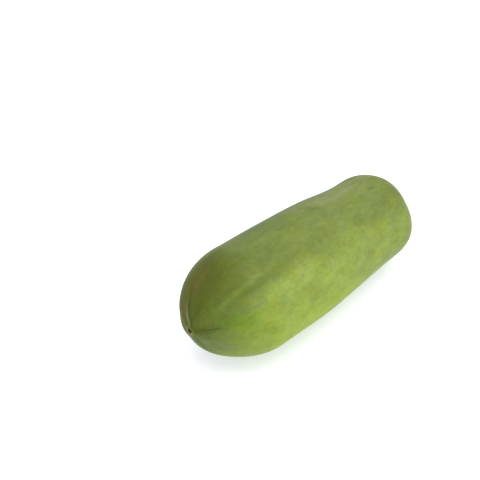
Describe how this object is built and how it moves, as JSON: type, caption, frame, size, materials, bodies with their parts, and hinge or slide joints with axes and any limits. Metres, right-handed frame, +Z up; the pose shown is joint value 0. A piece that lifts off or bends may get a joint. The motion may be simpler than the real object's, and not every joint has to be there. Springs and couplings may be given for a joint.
{
  "type": "papaya",
  "caption": "Whole long green papaya lying on its side, with soft lobes, a small blossom scar at one end and a short cut stalk stub at the other.",
  "frame": {"origin": "middle of the fruit's box at the surface that it lies on", "axes": "+X along the fruit from the blossom scar to the stalk stub, +Y to its side, +Z up from the surface"},
  "size_m": [0.2692, 0.1034, 0.1034],
  "materials": {
    "skin": "smooth waxy green fruit skin, satin, with yellower and darker green patches and faint lengthwise streaks"
  },
  "bodies": {
    "root": {"papaya": "skin"}
  },
  "joints": []
}
